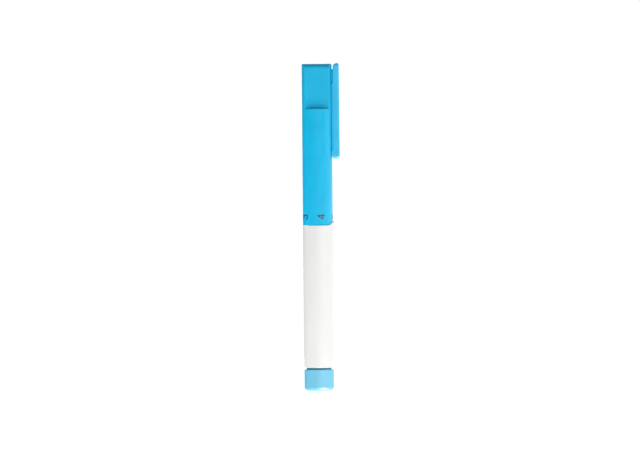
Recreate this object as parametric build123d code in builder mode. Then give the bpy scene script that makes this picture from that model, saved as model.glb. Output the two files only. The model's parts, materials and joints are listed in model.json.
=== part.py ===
from build123d import *

import math
import os

# Pocket periodontal probe in pen form, closed with its numbered cap, in millimetres.
#
# The pen's axis is Z. The origin is on the flat end of the end knob, +Z runs towards
# the capped tip, -Y is the side with the cap's flat face, and +X is the side with the
# pocket clip and the pointer that the cap's numbers are read against.

# Pen as a whole
PEN_TOP = 131.0
BARREL_R = 6.0
CAP_R = 6.0
KNOB_TOP = 8.6
BARREL_BOTTOM = 9.3
SHOULDER = 66.2
RIM_GAP = 0.12
RUNNING = 0.07

# Barrel: handle tube, neck under the cap, and pointer tab
STORE_R = 4.65
STORE_TOP = 61.0
NECK_R = 4.1
NECK_BORE_R = 3.2
NECK_TOP = 92.0
TAB_INNER_R = CAP_R + 0.05
TAB_RISE = 1.65
TAB_HALF_WIDTH = 4.3
SWELL_BOTTOM = 50.0
SWELL_TOP = SHOULDER + TAB_RISE + 0.3
SWELL_SHIFT = 0.24
SWELL_R = 6.26
LUG_SLOT_WIDTH = 1.3
LUG_SLOT_BOTTOM = 68.4
LUG_SLOT_TOP = 72.6
RING_GROOVE_BOTTOM = 78.4
RING_THICKNESS = 0.6
RING_GROOVE_R = 3.75

# Force dial and its five click stops
POSITIONS = 5
STEP_DEG = 360.0 / POSITIONS
DIAL_BOTTOM = 66.4
DIAL_TOP = 78.2
DIAL_R = 4.9
SPLINES = 10
SPLINE_R = 5.28
SPLINE_WIDTH = 0.9
THREAD_ROOT_R = 4.58
STOP_RADIUS = 4.6
BALL_R = 0.4
BALL_ANGLE = 200.0
STOP_HOLE_BOTTOM = 62.4

# Spring seat, force spring and probe carrier
SEAT_BOTTOM = 71.0
SEAT_THICKNESS = 1.2
SEAT_R = 3.12
SEAT_LUG_R = 4.5
ROD_R = 1.6
ROD_BOTTOM = 60.4
ROD_TOP = 101.3
FLANGE_R = 3.1
FLANGE_BOTTOM = 84.6
NOSE_BOTTOM = 86.0
SPRING_COIL_R = 2.45
SPRING_WIRE_R = 0.28
SPRING_PITCH = 1.5

# Nose, bush and the probe tip
NOSE_TOP = 104.0
NOSE_TOP_R = 2.45
NOSE_BORE_R = 2.3
NOSE_MOUTH_R = 1.95
BUSH_BOTTOM = 94.0
BUSH_TOP = 99.5
HUB_R = 1.85
HUB_TOP = 106.2
TIP_SHANK_R = 0.8
TIP_BASE = 93.4
TIP_STRAIGHT = 14.0
TIP_BEND_DEG = 14.0
TIP_NECK_LENGTH = 7.5
TIP_WORKING_LENGTH = 10.5
TIP_NECK_R = 0.42
TIP_POINT_R = 0.2
TIP_BALL_R = 0.25

# Cap shell, with the flat face cut down to a ledge
CAP_WALL = 0.95
CAP_BORE_R = CAP_R - CAP_WALL
TOP_ROUND = 2.1
RIM_ROUND = 0.3
LEDGE = 112.8
FLAT_DEPTH = 3.55
FLAT_WALL = 0.9
HOLLOW_BOTTOM = 111.5
HOLLOW_TOP = 129.7
SPLINE_GROOVE_TOP = 80.4
LINER_BOTTOM = 84.0
LINER_INNER_R = 4.3

# Numbers 1 to 5 round the cap's rim, read from the side: up on a number is round the pen
NUMBER_MIDDLE = 69.7
NUMBER_STROKE = 0.5
NUMBER_DEPTH = 0.16
FIRST_NUMBER_ANGLE = 157.3

# Centre lines of the digits about their middles: two points are a line, three an arc
DIGIT_STROKES = {
    1: [((-0.55, 0.85), (0.15, 1.33)), ((0.15, 1.33), (0.15, -1.33))],
    2: [
        ((-0.8, 0.7), (0.05, 1.33), (0.75, 0.45)),
        ((0.75, 0.45), (-0.85, -1.3)),
        ((-0.85, -1.3), (0.85, -1.3)),
    ],
    3: [
        ((-0.75, 0.95), (0.67, 0.75), (-0.15, 0.1)),
        ((-0.15, 0.1), (0.78, -0.6), (-0.85, -0.85)),
    ],
    4: [
        ((0.45, 1.3), (-0.9, -0.68)),
        ((-0.9, -0.68), (0.95, -0.68)),
        ((0.45, 1.3), (0.45, -1.33)),
    ],
    5: [
        ((0.7, 1.3), (-0.6, 1.3)),
        ((-0.6, 1.3), (-0.68, 0.2)),
        ((-0.68, 0.2), (0.75, -0.4), (-0.8, -0.95)),
    ],
}

# Pocket clip, a lever on a cross pin with a hairpin spring
CLIP_OUT = 9.05
CLIP_IN = 5.75
CLIP_IN_TOP = 6.45
CLIP_BOTTOM = 93.0
CLIP_TOP = 131.3
CLIP_HALF_WIDTH = 2.2
CLIP_EDGE_ROUND = 1.2
CLIP_PAD_TOP = 96.2
BEVEL_DEPTH = 0.85
BEVEL_WIDTH = 0.6
PAD_GAP = 0.1
CHANNEL_HALF_WIDTH = 1.38
CHANNEL_FLOOR = 7.9
LUG_HALF_WIDTH = 1.3
LUG_BOTTOM = 122.6
LUG_TOP = 128.9
LUG_BEVEL = 0.8
PIN_X = 7.1
PIN_Z = 125.9
PIN_R = 0.45
HAIRPIN_R = 0.65
HAIRPIN_THICKNESS = 0.15
PIN_HALF_LENGTH = 1.9

# End plug: knob, threaded core, screw and seal
END_FLAT_R = 4.6
END_ROUND_MIDDLE = (5.52, 0.4)
END_ROUND_TOP = 1.3
KNOB_FLOOR = 2.6
KNOB_HOLLOW_R = 4.5
CORE_R = 4.45
CORE_NECK_R = 4.33
CORE_THREAD_R = 4.1
CORE_TOP = 15.4
CORE_FLOOR = 4.4
SEAL_R = 4.75
SEAL_WIRE_R = 0.335
INSERT_TOP = 15.8

# Tip store in the handle
STORE_TUBE_BOTTOM = 16.2
STORE_TUBE_INNER_R = 3.9
RACK_BOTTOM = 49.0
RACK_TOP = 57.0
SPARE_OFFSET = 1.7
SPARE_BASE = 54.9
GUIDE_BOTTOM = 57.4


def save(part, name):
    """Label one finished piece and write it as its own STEP file."""
    part.label = name
    export_step(part, f"parts/{name}.step")


def round_the_axis(radius, angle_deg, height):
    """The point at this radius and height, angle 0 on the -Y side, turning towards +X."""
    angle = math.radians(angle_deg)
    return (radius * math.sin(angle), -radius * math.cos(angle), height)


def bottom(height):
    """A sketch plane across the pen at this height."""
    return Plane.XY.offset(height)


os.makedirs("parts", exist_ok=True)

# ---------------------------------------------------------------- barrel and pointer

with BuildPart() as barrel:
    # Above the plain round handle the wall swells towards the pointer side.
    with BuildSketch(bottom(SWELL_BOTTOM)):
        Circle(BARREL_R)
    with BuildSketch(bottom(SWELL_TOP)):
        with Locations((SWELL_SHIFT, 0)):
            Circle(SWELL_R)
    loft()
    # Above the shoulder only the arched tab stays, outside the cap's rim.
    with BuildSketch(bottom(SHOULDER)):
        Circle(TAB_INNER_R)
    extrude(amount=SWELL_TOP - SHOULDER, mode=Mode.SUBTRACT)
    with BuildSketch(Plane.YZ):
        with BuildLine():
            ThreePointArc(
                (-TAB_HALF_WIDTH, SHOULDER),
                (0, SHOULDER + TAB_RISE),
                (TAB_HALF_WIDTH, SHOULDER),
            )
            Polyline(
                (TAB_HALF_WIDTH, SHOULDER),
                (10, SHOULDER),
                (10, SWELL_TOP),
                (-10, SWELL_TOP),
                (-10, SHOULDER),
                (-TAB_HALF_WIDTH, SHOULDER),
            )
        make_face()
    extrude(amount=10, both=True, mode=Mode.SUBTRACT)
    with BuildSketch(bottom(SHOULDER)):
        with Locations((-BARREL_R, 0)):
            Rectangle(2 * BARREL_R, 4 * BARREL_R)
    extrude(amount=SWELL_TOP - SHOULDER, mode=Mode.SUBTRACT)
    # Handle tube and neck.
    with BuildSketch(bottom(BARREL_BOTTOM)):
        Circle(BARREL_R)
    extrude(amount=SWELL_BOTTOM - BARREL_BOTTOM)
    chamfer(barrel.edges().group_by(Axis.Z)[0], length=0.2)
    with BuildSketch(bottom(SHOULDER)):
        Circle(NECK_R)
    extrude(amount=NECK_TOP - SHOULDER)
    chamfer(barrel.edges().group_by(Axis.Z)[-1], length=0.2)
    # Store bore from below, neck bore from above.
    with BuildSketch(bottom(BARREL_BOTTOM)):
        Circle(STORE_R)
    extrude(amount=STORE_TOP - BARREL_BOTTOM, mode=Mode.SUBTRACT)
    with BuildSketch(bottom(STORE_TOP)):
        Circle(NECK_BORE_R)
    extrude(amount=NECK_TOP - STORE_TOP, mode=Mode.SUBTRACT)
    # Two straight slots for the lugs of the spring seat.
    with BuildSketch(bottom(LUG_SLOT_BOTTOM)):
        Rectangle(LUG_SLOT_WIDTH, 2 * NECK_R + 1)
    extrude(amount=LUG_SLOT_TOP - LUG_SLOT_BOTTOM, mode=Mode.SUBTRACT)
    # Groove for the retaining ring.
    with BuildSketch(bottom(RING_GROOVE_BOTTOM)):
        Circle(NECK_R + 1)
        Circle(RING_GROOVE_R, mode=Mode.SUBTRACT)
    extrude(amount=RING_THICKNESS + 0.04, mode=Mode.SUBTRACT)
    # Blind hole in the shoulder for the click ball and its spring.
    with BuildSketch(bottom(STOP_HOLE_BOTTOM)):
        with Locations(round_the_axis(STOP_RADIUS, BALL_ANGLE, 0)):
            Circle(BALL_R + 0.03)
    extrude(amount=SHOULDER - STOP_HOLE_BOTTOM, mode=Mode.SUBTRACT)
save(barrel.part, "barrel")

# ---------------------------------------------------------------- pieces in the handle

with BuildPart() as thread_insert:
    with BuildSketch(bottom(BARREL_BOTTOM + 0.2)):
        Circle(STORE_R)
        Circle(CORE_THREAD_R + RUNNING, mode=Mode.SUBTRACT)
    extrude(amount=INSERT_TOP - BARREL_BOTTOM - 0.2)
save(thread_insert.part, "thread_insert")

with BuildPart() as store_tube:
    with BuildSketch(bottom(STORE_TUBE_BOTTOM)):
        Circle(STORE_R - 0.05)
        Circle(STORE_TUBE_INNER_R, mode=Mode.SUBTRACT)
    extrude(amount=GUIDE_BOTTOM - STORE_TUBE_BOTTOM)
    chamfer(store_tube.edges().group_by(Axis.Z)[0], length=0.15)
save(store_tube.part, "store_tube")

with BuildPart() as tip_rack:
    with BuildSketch(bottom(RACK_BOTTOM)):
        Circle(STORE_TUBE_INNER_R - 0.04)
        with Locations((-SPARE_OFFSET, 0), (SPARE_OFFSET, 0)):
            Circle(TIP_SHANK_R + 0.03, mode=Mode.SUBTRACT)
    extrude(amount=RACK_TOP - RACK_BOTTOM)
save(tip_rack.part, "tip_rack")

with BuildPart() as rear_guide:
    with BuildSketch(bottom(GUIDE_BOTTOM)):
        Circle(STORE_R - 0.02)
    extrude(amount=STORE_TOP - GUIDE_BOTTOM)
    with BuildSketch(bottom(GUIDE_BOTTOM + 1.2)):
        Circle(ROD_R + RUNNING)
    extrude(amount=STORE_TOP - GUIDE_BOTTOM - 1.2, mode=Mode.SUBTRACT)
    chamfer(rear_guide.edges().group_by(Axis.Z)[0], length=0.3)
save(rear_guide.part, "rear_guide")

# ---------------------------------------------------------------- probe tips

BEND = math.radians(TIP_BEND_DEG)
NECK_DIRECTION = Vector(-math.sin(BEND), 0, math.cos(BEND))
WORKING_DIRECTION = Vector(math.sin(BEND), 0, math.cos(BEND))
NECK_START = Vector(0, 0, TIP_STRAIGHT)
WORKING_START = NECK_START + NECK_DIRECTION * TIP_NECK_LENGTH
WORKING_END = WORKING_START + WORKING_DIRECTION * TIP_WORKING_LENGTH

# One tip, standing on its shank at the origin, bent in the XZ plane.
with BuildPart() as tip_blank:
    with BuildSketch(Plane.XZ):
        Polygon(
            (0, 0),
            (TIP_SHANK_R - 0.15, 0),
            (TIP_SHANK_R, 0.15),
            (TIP_SHANK_R, TIP_STRAIGHT - 2.4),
            (TIP_NECK_R + 0.1, TIP_STRAIGHT),
            (0, TIP_STRAIGHT),
            align=None,
        )
    revolve(axis=Axis.Z)
    with Locations(NECK_START):
        Sphere(TIP_NECK_R + 0.1)
    with BuildSketch(Plane(origin=NECK_START, z_dir=NECK_DIRECTION)):
        Circle(TIP_NECK_R + 0.1)
    with BuildSketch(Plane(origin=WORKING_START, z_dir=NECK_DIRECTION)):
        Circle(TIP_NECK_R)
    loft()
    with Locations(WORKING_START):
        Sphere(TIP_NECK_R)
    with BuildSketch(Plane(origin=WORKING_START, z_dir=WORKING_DIRECTION)):
        Circle(TIP_NECK_R)
    with BuildSketch(Plane(origin=WORKING_END, z_dir=WORKING_DIRECTION)):
        Circle(TIP_POINT_R)
    loft()
    with Locations(WORKING_END):
        Sphere(TIP_BALL_R)

with BuildPart() as probe_tip:
    with Locations((0, 0, TIP_BASE)):
        add(tip_blank.part)
save(probe_tip.part, "probe_tip")

# The spares hang point down in the rack, each bent along Y, clear of the other.
with BuildPart() as spare_tips:
    with Locations(
        Location((-SPARE_OFFSET, 0, SPARE_BASE), (180, 0, 90)),
        Location((SPARE_OFFSET, 0, SPARE_BASE), (180, 0, -90)),
    ):
        add(tip_blank.part)
save(spare_tips.part, "spare_tips")

# ---------------------------------------------------------------- probe carrier

with BuildPart() as carrier_rod:
    with BuildSketch(bottom(ROD_BOTTOM)):
        Circle(ROD_R)
    extrude(amount=ROD_TOP - ROD_BOTTOM)
    chamfer(carrier_rod.edges().group_by(Axis.Z)[0], length=0.3)
    with BuildSketch(bottom(FLANGE_BOTTOM)):
        Circle(FLANGE_R)
    extrude(amount=NOSE_BOTTOM - 0.03 - FLANGE_BOTTOM)
    with BuildSketch(bottom(TIP_BASE)):
        Circle(TIP_SHANK_R + 0.02)
    extrude(amount=ROD_TOP - TIP_BASE, mode=Mode.SUBTRACT)
save(carrier_rod.part, "carrier_rod")

with BuildPart() as tip_chuck:
    with BuildSketch(Plane.XZ):
        Polygon(
            (TIP_SHANK_R + 0.02, ROD_TOP),
            (HUB_R, ROD_TOP),
            (HUB_R, HUB_TOP - 1.6),
            (HUB_R - 0.8, HUB_TOP),
            (TIP_SHANK_R + 0.02, HUB_TOP),
            align=None,
        )
    revolve(axis=Axis.Z)
    # Two spanner flats on the part that stands out of the nose.
    with BuildSketch(bottom(NOSE_TOP + 0.5)):
        with Locations((0, HUB_R + 0.7), (0, -HUB_R - 0.7)):
            Rectangle(2 * HUB_R + 1, 2.0)
    extrude(amount=1.2, mode=Mode.SUBTRACT)
save(tip_chuck.part, "tip_chuck")

with BuildPart() as force_spring:
    SPRING_START = SEAT_BOTTOM + SEAT_THICKNESS + SPRING_WIRE_R + 0.02
    SPRING_END = FLANGE_BOTTOM - SPRING_WIRE_R - 0.02
    with BuildLine(bottom(SPRING_START)) as force_coil:
        Helix(SPRING_PITCH, SPRING_END - SPRING_START, SPRING_COIL_R)
    with BuildSketch(Plane(origin=force_coil.line @ 0, z_dir=force_coil.line % 0)):
        Circle(SPRING_WIRE_R)
    sweep(path=force_coil.line, is_frenet=True)
save(force_spring.part, "force_spring")

with BuildPart() as spring_seat:
    with BuildSketch(bottom(SEAT_BOTTOM)):
        Circle(SEAT_R)
        Rectangle(LUG_SLOT_WIDTH - 0.14, 2 * SEAT_LUG_R)
        Circle(ROD_R + RUNNING, mode=Mode.SUBTRACT)
    extrude(amount=SEAT_THICKNESS)
save(spring_seat.part, "spring_seat")

# ---------------------------------------------------------------- nose

with BuildPart() as nose_cone:
    with BuildSketch(Plane.XZ):
        with BuildLine():
            Polyline(
                (NOSE_MOUTH_R, NOSE_TOP),
                (NOSE_MOUTH_R, BUSH_TOP + 0.1),
                (NOSE_BORE_R, BUSH_TOP + 0.1),
                (NOSE_BORE_R, NOSE_BOTTOM),
                (NECK_BORE_R - 0.03, NOSE_BOTTOM),
                (NECK_BORE_R - 0.03, NECK_TOP),
                (NECK_R - 0.02, NECK_TOP),
                (NECK_R - 0.02, NECK_TOP + 1.2),
            )
            ThreePointArc(
                (NECK_R - 0.02, NECK_TOP + 1.2),
                (NECK_R - 0.5, NECK_TOP + 6.6),
                (NOSE_TOP_R, NOSE_TOP),
            )
            Line((NOSE_TOP_R, NOSE_TOP), (NOSE_MOUTH_R, NOSE_TOP))
        make_face()
    revolve(axis=Axis.Z)
save(nose_cone.part, "nose_cone")

with BuildPart() as nose_bush:
    with BuildSketch(bottom(BUSH_BOTTOM)):
        Circle(NOSE_BORE_R - 0.02)
        Circle(ROD_R + RUNNING, mode=Mode.SUBTRACT)
    extrude(amount=BUSH_TOP - BUSH_BOTTOM)
save(nose_bush.part, "nose_bush")

# ---------------------------------------------------------------- force dial

with BuildPart() as force_dial:
    with BuildSketch(bottom(DIAL_BOTTOM)):
        Circle(DIAL_R)
        with PolarLocations(DIAL_R, SPLINES, start_angle=STEP_DEG / 4):
            Rectangle(2 * (SPLINE_R - DIAL_R), SPLINE_WIDTH)
        Circle(NECK_R + RUNNING, mode=Mode.SUBTRACT)
    extrude(amount=DIAL_TOP - DIAL_BOTTOM)
    # Relief that stands for the root of the seat's lifting thread.
    with BuildSketch(bottom(LUG_SLOT_BOTTOM - 0.2)):
        Circle(THREAD_ROOT_R)
    extrude(amount=LUG_SLOT_TOP - LUG_SLOT_BOTTOM + 1.0, mode=Mode.SUBTRACT)
    with Locations(
        *[
            round_the_axis(STOP_RADIUS, BALL_ANGLE + n * STEP_DEG, DIAL_BOTTOM - 0.3)
            for n in range(POSITIONS)
        ]
    ):
        Sphere(BALL_R + 0.05, mode=Mode.SUBTRACT)
save(force_dial.part, "force_dial")

with BuildPart() as retaining_ring:
    with BuildSketch(bottom(RING_GROOVE_BOTTOM + 0.02)):
        Circle(DIAL_R - 0.05)
        Circle(RING_GROOVE_R + 0.03, mode=Mode.SUBTRACT)
        with Locations((0, DIAL_R)):
            Rectangle(2.6, 2 * DIAL_R, align=(Align.CENTER, Align.CENTER), mode=Mode.SUBTRACT)
    extrude(amount=RING_THICKNESS)
save(retaining_ring.part, "retaining_ring")

with BuildPart() as click_ball:
    with Locations(round_the_axis(STOP_RADIUS, BALL_ANGLE, SHOULDER + 0.12 - BALL_R)):
        Sphere(BALL_R)
save(click_ball.part, "click_ball")

with BuildPart() as click_spring:
    CLICK_WIRE_R = 0.07
    CLICK_START = STOP_HOLE_BOTTOM + CLICK_WIRE_R + 0.01
    CLICK_LENGTH = SHOULDER + 0.12 - 2 * BALL_R - CLICK_WIRE_R - 0.02 - CLICK_START
    with BuildLine(Plane(origin=round_the_axis(STOP_RADIUS, BALL_ANGLE, CLICK_START))) as click_coil:
        Helix(0.45, CLICK_LENGTH, 0.28)
    with BuildSketch(Plane(origin=click_coil.line @ 0, z_dir=click_coil.line % 0)):
        Circle(CLICK_WIRE_R)
    sweep(path=click_coil.line, is_frenet=True)
save(click_spring.part, "click_spring")

# ---------------------------------------------------------------- numbers on the cap


def number_plane(digit):
    """The plane that touches the cap where this digit goes, reading towards +Z."""
    angle = FIRST_NUMBER_ANGLE + (digit - 1) * STEP_DEG
    outward = Vector(*round_the_axis(1, angle, 0))
    middle = Vector(0, 0, NUMBER_MIDDLE)
    return Plane(origin=middle + outward * (CAP_R + 1), x_dir=(0, 0, 1), z_dir=outward)


with BuildPart() as cap_numbers:
    for digit, strokes in DIGIT_STROKES.items():
        for stroke in strokes:
            with BuildSketch(number_plane(digit)):
                with BuildLine():
                    if len(stroke) == 2:
                        Line(*stroke)
                    else:
                        ThreePointArc(*stroke)
                trace(line_width=NUMBER_STROKE)
                with Locations(stroke[0], stroke[-1]):
                    Circle(NUMBER_STROKE / 2)
            extrude(amount=-2)
    with BuildSketch(bottom(NUMBER_MIDDLE - 3)):
        Circle(CAP_R + 0.01)
        Circle(CAP_R - NUMBER_DEPTH, mode=Mode.SUBTRACT)
    extrude(amount=6, mode=Mode.INTERSECT)
save(cap_numbers.part, "cap_numbers")

# ---------------------------------------------------------------- cap

with BuildPart() as cap_shell:
    # Lug that the clip swings on, its lower corners bevelled.
    with BuildSketch(Plane.XZ):
        Polygon(
            (CAP_BORE_R + 0.3, LUG_BOTTOM),
            (6.4, LUG_BOTTOM),
            (PIN_X + 0.3, PIN_Z - 1.0),
            (PIN_X + 0.5, PIN_Z),
            (PIN_X + 0.2, PIN_Z + 1.4),
            (6.55, LUG_TOP),
            (CAP_BORE_R + 0.3, LUG_TOP),
            align=None,
        )
    extrude(amount=LUG_HALF_WIDTH, both=True)
    for side in (-1, 1):
        with BuildSketch(Plane.YZ):
            Polygon(
                (side * LUG_HALF_WIDTH, LUG_BOTTOM),
                (side * LUG_HALF_WIDTH, LUG_BOTTOM + 1.3),
                (side * (LUG_HALF_WIDTH - LUG_BEVEL), LUG_BOTTOM),
                align=None,
            )
        extrude(amount=CLIP_OUT, mode=Mode.SUBTRACT)
    with BuildSketch(bottom(SHOULDER + RIM_GAP)):
        Circle(CAP_R)
    extrude(amount=PEN_TOP - SHOULDER - RIM_GAP)
    # The flat face, with a wide rounding at its top edge.
    with BuildSketch(bottom(LEDGE)):
        with Locations((0, -FLAT_DEPTH)):
            Rectangle(2 * CAP_R + 2, CAP_R, align=(Align.CENTER, Align.MAX))
    extrude(amount=PEN_TOP - LEDGE, mode=Mode.SUBTRACT)
    with BuildSketch(Plane.YZ):
        with BuildLine():
            RadiusArc(
                (-FLAT_DEPTH, PEN_TOP - TOP_ROUND),
                (-FLAT_DEPTH + TOP_ROUND, PEN_TOP),
                TOP_ROUND,
            )
            Polyline(
                (-FLAT_DEPTH + TOP_ROUND, PEN_TOP),
                (-FLAT_DEPTH + TOP_ROUND, PEN_TOP + 1),
                (-FLAT_DEPTH - 1, PEN_TOP + 1),
                (-FLAT_DEPTH - 1, PEN_TOP - TOP_ROUND),
                (-FLAT_DEPTH, PEN_TOP - TOP_ROUND),
            )
        make_face()
    extrude(amount=CAP_R + 1, both=True, mode=Mode.SUBTRACT)
    top_edges = cap_shell.faces().sort_by(Axis.Z)[-1].edges()
    fillet(top_edges.filter_by(GeomType.CIRCLE), radius=RIM_ROUND)
    # Bore, and the hollow behind the flat face.
    with BuildSketch(bottom(SHOULDER)):
        Circle(CAP_BORE_R)
    extrude(amount=HOLLOW_BOTTOM - SHOULDER, mode=Mode.SUBTRACT)
    with BuildSketch(bottom(HOLLOW_BOTTOM)):
        Circle(CAP_BORE_R)
        with Locations((0, -FLAT_DEPTH + FLAT_WALL)):
            Rectangle(2 * CAP_R, CAP_R, align=(Align.CENTER, Align.MAX), mode=Mode.SUBTRACT)
    extrude(amount=HOLLOW_TOP - HOLLOW_BOTTOM, mode=Mode.SUBTRACT)
    # Spline grooves, open at the rim so that the cap pulls straight off.
    with BuildSketch(bottom(SHOULDER)):
        with PolarLocations(CAP_BORE_R, SPLINES, start_angle=STEP_DEG / 4):
            Rectangle(2 * (SPLINE_R + 0.1 - CAP_BORE_R), SPLINE_WIDTH + 0.2)
    extrude(amount=SPLINE_GROOVE_TOP - SHOULDER, mode=Mode.SUBTRACT)
    # Pin hole and spring slot in the lug.
    with BuildSketch(Plane.XZ):
        with Locations((PIN_X, PIN_Z)):
            Circle(PIN_R)
    extrude(amount=LUG_HALF_WIDTH + 1, both=True, mode=Mode.SUBTRACT)
    with BuildSketch(Plane.XZ):
        with Locations((CAP_R + 0.05, PIN_Z - 1)):
            Rectangle(3, 5, align=(Align.MIN, Align.MIN))
    extrude(amount=0.48, both=True, mode=Mode.SUBTRACT)
    add(cap_numbers.part, mode=Mode.SUBTRACT)
save(cap_shell.part, "cap_shell")

with BuildPart() as cap_liner:
    with BuildSketch(bottom(LINER_BOTTOM)):
        Circle(CAP_BORE_R - 0.03)
        Circle(LINER_INNER_R, mode=Mode.SUBTRACT)
    extrude(amount=HOLLOW_BOTTOM - 0.1 - LINER_BOTTOM)
    chamfer(cap_liner.edges().group_by(Axis.Z)[0].sort_by(SortBy.RADIUS)[0], length=0.3)
save(cap_liner.part, "cap_liner")

# ---------------------------------------------------------------- pocket clip

with BuildPart() as pocket_clip:
    with BuildSketch(Plane.XZ) as clip_side:
        Polygon(
            (CLIP_IN + 0.8, CLIP_BOTTOM),
            (CLIP_OUT, CLIP_BOTTOM),
            (CLIP_OUT - 0.08, CLIP_TOP),
            (CLIP_IN_TOP + 1.0, CLIP_TOP - 0.1),
            (CLIP_IN_TOP, CLIP_TOP - 1.1),
            (CLIP_IN_TOP, PIN_Z - 2),
            (CLIP_IN, PIN_Z - 4),
            (CLIP_IN, CLIP_BOTTOM + 1.2),
            align=None,
        )
        corners = clip_side.vertices().group_by(Axis.X)
        fillet(corners[-1] + corners[-2], radius=0.8)
    extrude(amount=CLIP_HALF_WIDTH, both=True)
    # Rounded outer edges, and a bevel along the inner ones above the gripping pad.
    for face in pocket_clip.faces().sort_by(Axis.Y)[:: len(pocket_clip.faces()) - 1]:
        fillet(face.edges().filter_by(lambda edge: edge.center().X > 7.5), radius=CLIP_EDGE_ROUND)
    for side in (-1, 1):
        with BuildSketch(bottom(CLIP_PAD_TOP)):
            Polygon(
                (CLIP_IN, side * (CLIP_HALF_WIDTH - BEVEL_WIDTH)),
                (CLIP_IN + BEVEL_DEPTH, side * CLIP_HALF_WIDTH),
                (CLIP_IN, side * CLIP_HALF_WIDTH),
                align=None,
            )
        extrude(amount=PEN_TOP - CLIP_PAD_TOP, mode=Mode.SUBTRACT)
    # The inner side follows the sleeve's curve, so that the pad lies along it.
    with BuildSketch(bottom(CLIP_BOTTOM)):
        Circle(CAP_R + PAD_GAP)
    extrude(amount=CLIP_TOP - CLIP_BOTTOM, mode=Mode.SUBTRACT)
    # Open channel on the inner side, solid only at the gripping end.
    with BuildSketch(bottom(CLIP_BOTTOM + 4)):
        with Locations((CHANNEL_FLOOR, 0)):
            Rectangle(3, 2 * CHANNEL_HALF_WIDTH, align=(Align.MAX, Align.CENTER))
    extrude(amount=CLIP_TOP - CLIP_BOTTOM, mode=Mode.SUBTRACT)
    # Blind holes for the pin, one in each wall.
    with BuildSketch(Plane.XZ):
        with Locations((PIN_X, PIN_Z)):
            Circle(PIN_R + RUNNING)
    extrude(amount=PIN_HALF_LENGTH + 0.05, both=True, mode=Mode.SUBTRACT)
save(pocket_clip.part, "pocket_clip")

with BuildPart() as clip_pin:
    with BuildSketch(Plane.XZ):
        with Locations((PIN_X, PIN_Z)):
            Circle(PIN_R)
    extrude(amount=PIN_HALF_LENGTH, both=True)
save(clip_pin.part, "clip_pin")

with BuildPart() as clip_spring:
    with BuildSketch(Plane.XZ):
        with BuildLine():
            Line((PIN_X - HAIRPIN_R, PIN_Z + 1.3), (PIN_X - HAIRPIN_R, PIN_Z))
            ThreePointArc(
                (PIN_X - HAIRPIN_R, PIN_Z),
                (PIN_X, PIN_Z - HAIRPIN_R),
                (PIN_X + HAIRPIN_R, PIN_Z),
            )
            Line((PIN_X + HAIRPIN_R, PIN_Z), (PIN_X + HAIRPIN_R, PIN_Z + 3.8))
        trace(line_width=HAIRPIN_THICKNESS)
    extrude(amount=0.4, both=True)
save(clip_spring.part, "clip_spring")

# ---------------------------------------------------------------- end plug

with BuildPart() as end_knob:
    with BuildSketch(Plane.XZ):
        with BuildLine():
            Line((0, 0), (END_FLAT_R, 0))
            ThreePointArc((END_FLAT_R, 0), END_ROUND_MIDDLE, (BARREL_R, END_ROUND_TOP))
            Polyline(
                (BARREL_R, END_ROUND_TOP),
                (BARREL_R, KNOB_TOP - 0.3),
                (BARREL_R - 0.3, KNOB_TOP),
                (0, KNOB_TOP),
                (0, 0),
            )
        make_face()
    revolve(axis=Axis.Z)
    with BuildSketch(bottom(KNOB_FLOOR)):
        Circle(KNOB_HOLLOW_R)
    extrude(amount=KNOB_TOP - KNOB_FLOOR, mode=Mode.SUBTRACT)
    with BuildSketch(bottom(0.9)):
        Circle(0.8)
    extrude(amount=KNOB_FLOOR - 0.9, mode=Mode.SUBTRACT)
save(end_knob.part, "end_knob")

with BuildPart() as plug_core:
    with BuildSketch(Plane.XZ):
        Polygon(
            (1.05, KNOB_FLOOR),
            (CORE_R, KNOB_FLOOR),
            (CORE_R, KNOB_TOP - 0.1),
            (CORE_NECK_R, KNOB_TOP - 0.1),
            (CORE_NECK_R, BARREL_BOTTOM + 0.12),
            (CORE_THREAD_R, BARREL_BOTTOM + 0.12),
            (CORE_THREAD_R, CORE_TOP - 0.3),
            (CORE_THREAD_R - 0.3, CORE_TOP),
            (3.1, CORE_TOP),
            (3.1, CORE_FLOOR),
            (1.05, CORE_FLOOR),
            align=None,
        )
    revolve(axis=Axis.Z)
save(plug_core.part, "plug_core")

with BuildPart() as plug_screw:
    with BuildSketch(bottom(1.0)):
        Circle(0.78)
    extrude(amount=CORE_FLOOR - 1.0)
    with BuildSketch(bottom(CORE_FLOOR)):
        Circle(1.75)
    extrude(amount=1.1)
    fillet(plug_screw.edges().group_by(Axis.Z)[-1], radius=0.3)
    with BuildSketch(bottom(CORE_FLOOR + 0.45)):
        RegularPolygon(0.8, 6)
    extrude(amount=1, mode=Mode.SUBTRACT)
save(plug_screw.part, "plug_screw")

with BuildPart() as seal_ring:
    with BuildSketch(Plane.XZ):
        with Locations((SEAL_R, (KNOB_TOP + BARREL_BOTTOM) / 2)):
            Circle(SEAL_WIRE_R)
    revolve(axis=Axis.Z)
save(seal_ring.part, "seal_ring")
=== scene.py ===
import json
import math

import bpy
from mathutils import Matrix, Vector


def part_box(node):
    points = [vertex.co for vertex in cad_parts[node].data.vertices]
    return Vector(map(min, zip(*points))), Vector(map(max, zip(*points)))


# Looks of the closed pen-form periodontal probe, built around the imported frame, in metres.
# +Z runs along the pen, -Y is the side with the flat face, +X the side with the clip.

MM = 0.001

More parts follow.
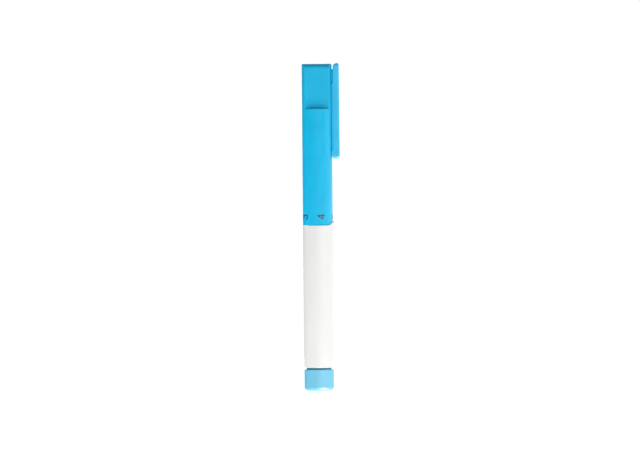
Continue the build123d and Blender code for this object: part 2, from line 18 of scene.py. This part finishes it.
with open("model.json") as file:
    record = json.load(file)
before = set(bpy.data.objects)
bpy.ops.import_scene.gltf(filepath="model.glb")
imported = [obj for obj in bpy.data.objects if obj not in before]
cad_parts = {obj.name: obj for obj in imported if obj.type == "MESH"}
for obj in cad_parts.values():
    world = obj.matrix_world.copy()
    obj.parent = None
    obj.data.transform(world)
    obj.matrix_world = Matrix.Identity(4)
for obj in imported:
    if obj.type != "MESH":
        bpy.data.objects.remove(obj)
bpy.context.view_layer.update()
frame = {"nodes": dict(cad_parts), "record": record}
scene = bpy.context.scene


# ------------------------------------------------------------------ node helpers


def new_tree(material):
    """This material's node tree, emptied."""
    material.use_nodes = True
    tree = material.node_tree
    tree.nodes.clear()
    return tree


def add_node(tree, kind, **values):
    """A node of this kind with the named properties and input values set."""
    node = tree.nodes.new(kind)
    for key, value in values.items():
        if key in node.inputs:
            node.inputs[key].default_value = value
        else:
            setattr(node, key, value)
    return node


def object_noise(tree, size, detail=3.0, roughness=0.5, stretch=(1, 1, 1)):
    """Noise whose features measure about size metres, fixed to the frame."""
    place = add_node(tree, "ShaderNodeTexCoord")
    scale = add_node(tree, "ShaderNodeMapping")
    scale.inputs["Scale"].default_value = [1 / (size * s) for s in stretch]
    noise = add_node(tree, "ShaderNodeTexNoise", Scale=1.0, Detail=detail, Roughness=roughness)
    tree.links.new(place.outputs["Object"], scale.inputs["Vector"])
    tree.links.new(scale.outputs["Vector"], noise.inputs["Vector"])
    return noise


def remap(tree, source, low, high, from_low=0.35, from_high=0.65):
    """source, spread over from_low to from_high, turned into a value from low to high."""
    spread = add_node(tree, "ShaderNodeMapRange")
    spread.inputs["From Min"].default_value = from_low
    spread.inputs["From Max"].default_value = from_high
    spread.inputs["To Min"].default_value = low
    spread.inputs["To Max"].default_value = high
    tree.links.new(source, spread.inputs["Value"])
    return spread.outputs["Result"]


def mixed_colour(tree, factor, first, second):
    """A colour between first and second, by factor."""
    mix = add_node(tree, "ShaderNodeMix", data_type="RGBA")
    mix.inputs[6].default_value = (*first, 1)
    mix.inputs[7].default_value = (*second, 1)
    tree.links.new(factor, mix.inputs["Factor"])
    return mix.outputs[2]


def bumped(tree, shader, height, distance, strength=1.0):
    """Give the shader a bump from this height, distance metres deep."""
    bump = add_node(tree, "ShaderNodeBump", Strength=strength, Distance=distance)
    tree.links.new(height, bump.inputs["Height"])
    tree.links.new(bump.outputs["Normal"], shader.inputs["Normal"])


def finish_material(tree, shader):
    """Join the shader to the material's output."""
    output = add_node(tree, "ShaderNodeOutputMaterial")
    tree.links.new(shader.outputs["BSDF"], output.inputs["Surface"])


def moulded(name, colour, roughness=0.35, grain=0.15 * MM, depth=0.004 * MM, cloud=0.06, soft=0.0):
    """Injection-moulded plastic: fine tool texture, faint flow clouds, uneven gloss."""
    material = bpy.data.materials.new(name)
    tree = new_tree(material)
    shader = add_node(tree, "ShaderNodeBsdfPrincipled")
    shader.inputs["IOR"].default_value = 1.46
    shader.inputs["Subsurface Weight"].default_value = soft
    shader.inputs["Subsurface Radius"].default_value = (0.6 * MM, 0.6 * MM, 0.6 * MM)
    shader.inputs["Subsurface Scale"].default_value = 1.0
    clouds = object_noise(tree, 5 * MM, detail=4, stretch=(1, 1, 2.5))
    darker = [c * (1 - cloud) for c in colour]
    lighter = [min(1, c * (1 + cloud * 0.4)) for c in colour]
    tone = mixed_colour(tree, remap(tree, clouds.outputs["Fac"], 0, 1), darker, lighter)
    tree.links.new(tone, shader.inputs["Base Color"])
    gloss = object_noise(tree, 1.2 * MM, detail=5, stretch=(1, 1, 3))
    tree.links.new(
        remap(tree, gloss.outputs["Fac"], roughness * 0.88, roughness * 1.14),
        shader.inputs["Roughness"],
    )
    texture = object_noise(tree, grain, detail=2)
    bumped(tree, shader, texture.outputs["Fac"], depth)
    finish_material(tree, shader)
    return material


def metal(name, colour, roughness=0.25, grain=0.08 * MM, depth=0.002 * MM, stretch=(1, 1, 1)):
    """Machined or drawn metal with fine tool marks along the given stretch."""
    material = bpy.data.materials.new(name)
    tree = new_tree(material)
    shader = add_node(tree, "ShaderNodeBsdfPrincipled", Metallic=1.0)
    tone = object_noise(tree, 2 * MM, detail=4)
    darker = [c * 0.86 for c in colour]
    tree.links.new(
        mixed_colour(tree, remap(tree, tone.outputs["Fac"], 0, 1), darker, colour),
        shader.inputs["Base Color"],
    )
    marks = object_noise(tree, grain, detail=3, stretch=stretch)
    tree.links.new(
        remap(tree, marks.outputs["Fac"], roughness * 0.75, roughness * 1.3),
        shader.inputs["Roughness"],
    )
    bumped(tree, shader, marks.outputs["Fac"], depth)
    finish_material(tree, shader)
    return material


def principled(material):
    """The material's main shader."""
    return next(node for node in material.node_tree.nodes if node.type == "BSDF_PRINCIPLED")


def frame_position(tree):
    """The place in the frame, in metres, split into X, Y and Z."""
    place = add_node(tree, "ShaderNodeTexCoord")
    split = add_node(tree, "ShaderNodeSeparateXYZ")
    tree.links.new(place.outputs["Object"], split.inputs["Vector"])
    return split


def calculate(tree, operation, first, *others):
    """One math node: first is a socket, the others are sockets or plain numbers."""
    node = add_node(tree, "ShaderNodeMath", operation=operation)
    tree.links.new(first, node.inputs[0])
    for index, other in enumerate(others, start=1):
        if isinstance(other, (int, float)):
            node.inputs[index].default_value = other
        else:
            tree.links.new(other, node.inputs[index])
    return node.outputs["Value"]


def graduated(name, ball_height, toward_shank):
    """Polished probe steel with its black depth marks, counted from the ball end.

    toward_shank is 1 when the shank is above the ball, and -1 when it is below.
    """
    material = metal(name, PROBE_STEEL, roughness=0.16)
    tree = material.node_tree
    shader = principled(material)
    height = frame_position(tree).outputs["Z"]
    depth = calculate(tree, "SUBTRACT", height, ball_height)
    depth = calculate(tree, "MULTIPLY", depth, toward_shank / (LEG_SLOPE * MM))
    band = calculate(tree, "COMPARE", depth, BAND_MIDDLE, BAND_WIDTH / 2)
    ring = calculate(tree, "COMPARE", depth, RING_DEPTH, RING_WIDTH / 2)
    marks = calculate(tree, "MAXIMUM", band, ring)
    colour = add_node(tree, "ShaderNodeMix", data_type="RGBA")
    tree.links.new(shader.inputs["Base Color"].links[0].from_socket, colour.inputs[6])
    colour.inputs[7].default_value = (*MARK_BLACK, 1)
    tree.links.new(marks, colour.inputs["Factor"])
    tree.links.new(colour.outputs[2], shader.inputs["Base Color"])
    return material


def threaded(material, start, end):
    """Give the material the plug's thread as a helical bump, fading out at start and end."""
    tree = material.node_tree
    shader = principled(material)
    split = frame_position(tree)
    turn = add_node(tree, "ShaderNodeMath", operation="ARCTAN2")
    tree.links.new(split.outputs["Y"], turn.inputs[0])
    tree.links.new(split.outputs["X"], turn.inputs[1])
    climb = calculate(tree, "MULTIPLY", split.outputs["Z"], math.tau / THREAD_PITCH)
    phase = calculate(tree, "MULTIPLY", turn.outputs["Value"], -THREAD_STARTS)
    ridge = calculate(tree, "SINE", calculate(tree, "ADD", climb, phase))
    fade_in = remap(tree, split.outputs["Z"], 0, 1, start, start + THREAD_FADE)
    fade_out = remap(tree, split.outputs["Z"], 1, 0, end - THREAD_FADE, end)
    ridge = calculate(tree, "MULTIPLY", ridge, fade_in)
    ridge = calculate(tree, "MULTIPLY", ridge, fade_out)
    bump = add_node(tree, "ShaderNodeBump", Strength=1.0, Distance=THREAD_DEPTH)
    tree.links.new(shader.inputs["Normal"].links[0].from_socket, bump.inputs["Normal"])
    tree.links.new(ridge, bump.inputs["Height"])
    tree.links.new(bump.outputs["Normal"], shader.inputs["Normal"])
    return material


# ------------------------------------------------------------------ materials

# Depth marks in millimetres from the ball end: a band from 3.5 to 5.5 and a ring at 8.5.
BAND_MIDDLE, BAND_WIDTH = 4.5, 2.0
RING_DEPTH, RING_WIDTH = 8.5, 0.25
LEG_SLOPE = math.cos(math.radians(14))
THREAD_PITCH, THREAD_STARTS = 1.0 * MM, 2
THREAD_DEPTH, THREAD_FADE = 0.12 * MM, 0.5 * MM

SKY_BLUE = (0.0, 0.525, 0.86)
CLIP_BLUE = (0.04, 0.56, 0.88)
PALE_BLUE = (0.16, 0.545, 0.76)
BARREL_WHITE = (0.80, 0.795, 0.785)
CORE_WHITE = (0.76, 0.76, 0.73)
BRASS = (0.80, 0.58, 0.26)
PROBE_STEEL = (0.72, 0.73, 0.75)
MARK_BLACK = (0.012, 0.012, 0.014)

materials = {
    "cap_blue": moulded("cap_blue", SKY_BLUE, roughness=0.33),
    "clip_blue": moulded("clip_blue", CLIP_BLUE, roughness=0.33),
    "number_ink": moulded("number_ink", (0.0, 0.055, 0.13), roughness=0.6, cloud=0.2),
    "barrel_white": moulded("barrel_white", BARREL_WHITE, roughness=0.5, cloud=0.02),
    "knob_blue": moulded("knob_blue", PALE_BLUE, roughness=0.5, cloud=0.04),
    "seal_dark": moulded("seal_dark", (0.12, 0.30, 0.40), roughness=0.55, grain=0.05 * MM),
    "dial_blue": moulded("dial_blue", (0.02, 0.20, 0.48), roughness=0.45),
    "liner_white": moulded("liner_white", (0.80, 0.84, 0.86), roughness=0.45, soft=0.2),
    "nose_grey": moulded("nose_grey", (0.60, 0.63, 0.66), roughness=0.4),
    "rack_silicone": moulded("rack_silicone", (0.28, 0.52, 0.66), roughness=0.5, soft=0.4),
    "core_white": moulded("core_white", CORE_WHITE, roughness=0.45),
    "brass": metal("brass", BRASS, roughness=0.28),
    "steel": metal("steel", (0.62, 0.63, 0.65), roughness=0.3),
    "spring_steel": metal("spring_steel", (0.55, 0.56, 0.58), roughness=0.3),
}

# Nodes that need a finish of their own, by node name.
core_low, core_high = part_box("plug_core")
insert_low, insert_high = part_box("thread_insert")
own_materials = {
    "probe_tip": graduated("probe_steel_in_use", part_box("probe_tip")[1].z, -1),
    "spare_tips": graduated("probe_steel_spare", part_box("spare_tips")[0].z, 1),
    "plug_core": threaded(
        moulded("core_white_threaded", CORE_WHITE, roughness=0.45),
        insert_low.z,
        core_high.z,
    ),
    "thread_insert": threaded(
        metal("brass_threaded", BRASS, roughness=0.28), insert_low.z, insert_high.z
    ),
}

for part in frame["record"]["subparts"]:
    node = frame["nodes"][part["node"]]
    node.data.materials.clear()
    finish = own_materials.get(part["node"]) or materials[part["material_slot"]]
    node.data.materials.append(finish)

# ------------------------------------------------------------------ camera, light, floor

PEN_LOW, PEN_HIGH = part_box("end_knob")[0].z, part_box("cap_shell")[1].z

CAMERA_DISTANCE = 2.0
CAMERA_HEIGHT = (PEN_LOW + PEN_HIGH) / 2 + 0.3 * MM
CAMERA_SIDE = 0.85 * MM
CAMERA_ROLL = math.radians(0.5)
FRAME_WIDTH = 0.2566

camera_data = bpy.data.cameras.new("camera")
camera_data.sensor_width = 36
camera_data.lens = camera_data.sensor_width * CAMERA_DISTANCE / FRAME_WIDTH
camera_data.clip_start = 0.01
camera = bpy.data.objects.new("camera", camera_data)
camera.location = (CAMERA_SIDE, -CAMERA_DISTANCE, CAMERA_HEIGHT)
camera.rotation_euler = (math.radians(90), CAMERA_ROLL, 0)
scene.collection.objects.link(camera)
scene.camera = camera
scene.view_settings.view_transform = "Standard"
scene.view_settings.look = "None"


def studio_world():
    """White surroundings behind and to the right, dark ones in front and to the left."""
    world = bpy.data.worlds.new("studio")
    scene.world = world
    world.use_nodes = True
    tree = world.node_tree
    tree.nodes.clear()
    direction = add_node(tree, "ShaderNodeTexCoord")
    cosine = add_node(tree, "ShaderNodeVectorMath", operation="DOT_PRODUCT")
    cosine.inputs[1].default_value = DARK_SIDE
    tree.links.new(direction.outputs["Generated"], cosine.inputs[0])
    strength = remap(
        tree,
        cosine.outputs["Value"],
        WHITE_LEVEL,
        DARK_LEVEL,
        DARK_EDGE - EDGE_SOFTNESS,
        DARK_EDGE + EDGE_SOFTNESS,
    )
    background = add_node(tree, "ShaderNodeBackground", Color=(1, 1, 1, 1))
    output = add_node(tree, "ShaderNodeOutputWorld")
    tree.links.new(strength, background.inputs["Strength"])
    tree.links.new(background.outputs["Background"], output.inputs["Surface"])


WHITE_LEVEL = 1.05
DARK_LEVEL = 0.04
DARK_SIDE = (-0.70, -0.714, 0.0)
DARK_EDGE = -0.40
EDGE_SOFTNESS = 0.1

studio_world()


def pale_floor():
    """A plain pale floor that glows a little, hidden from reflections and shadow rays."""
    size = FLOOR_HALF_WIDTH
    mesh = bpy.data.meshes.new("floor")
    corners = [(-size, -size, 0), (size, -size, 0), (size, size, 0), (-size, size, 0)]
    mesh.from_pydata(corners, [], [(0, 1, 2, 3)])
    floor = bpy.data.objects.new("floor", mesh)
    floor.visible_glossy = False
    floor.visible_shadow = False
    scene.collection.objects.link(floor)
    material = bpy.data.materials.new("floor_paint")
    tree = new_tree(material)
    shader = add_node(tree, "ShaderNodeBsdfPrincipled", Roughness=0.7)
    shader.inputs["Base Color"].default_value = (0.2, 0.2, 0.2, 1)
    shader.inputs["Specular IOR Level"].default_value = 0.1
    shader.inputs["Emission Color"].default_value = (1, 1, 1, 1)
    shader.inputs["Emission Strength"].default_value = FLOOR_GLOW
    finish_material(tree, shader)
    mesh.materials.append(material)


FLOOR_HALF_WIDTH = 0.5
FLOOR_GLOW = 1.7

pale_floor()


def soft_light(name, azimuth_deg, height_deg, distance, size, radiance, gloss):
    """A square light aimed at the pen, seen only by the gloss or only by the matt colour.

    The azimuth turns round the pen from -Y towards +X.
    """
    azimuth, height = math.radians(azimuth_deg), math.radians(height_deg)
    away = Vector((math.sin(azimuth), -math.cos(azimuth), math.tan(height))).normalized()
    data = bpy.data.lights.new(name, "AREA")
    data.shape = "SQUARE"
    data.size = size
    data.energy = radiance * math.pi * size * size
    light = bpy.data.objects.new(name, data)
    light.location = Vector((0, 0, CAMERA_HEIGHT)) + away * distance
    light.rotation_euler = away.to_track_quat("Z", "Y").to_euler()
    light.visible_camera = False
    light.visible_glossy = gloss
    light.visible_diffuse = not gloss
    scene.collection.objects.link(light)


soft_light("key_below", 45, -50, 1.5, 0.35, 400, gloss=True)
soft_light("fill_left", -100, 10, 1.4, 1.0, 0.6, gloss=False)
soft_light("fill_front", -5, 30, 1.6, 1.4, 1.4, gloss=False)
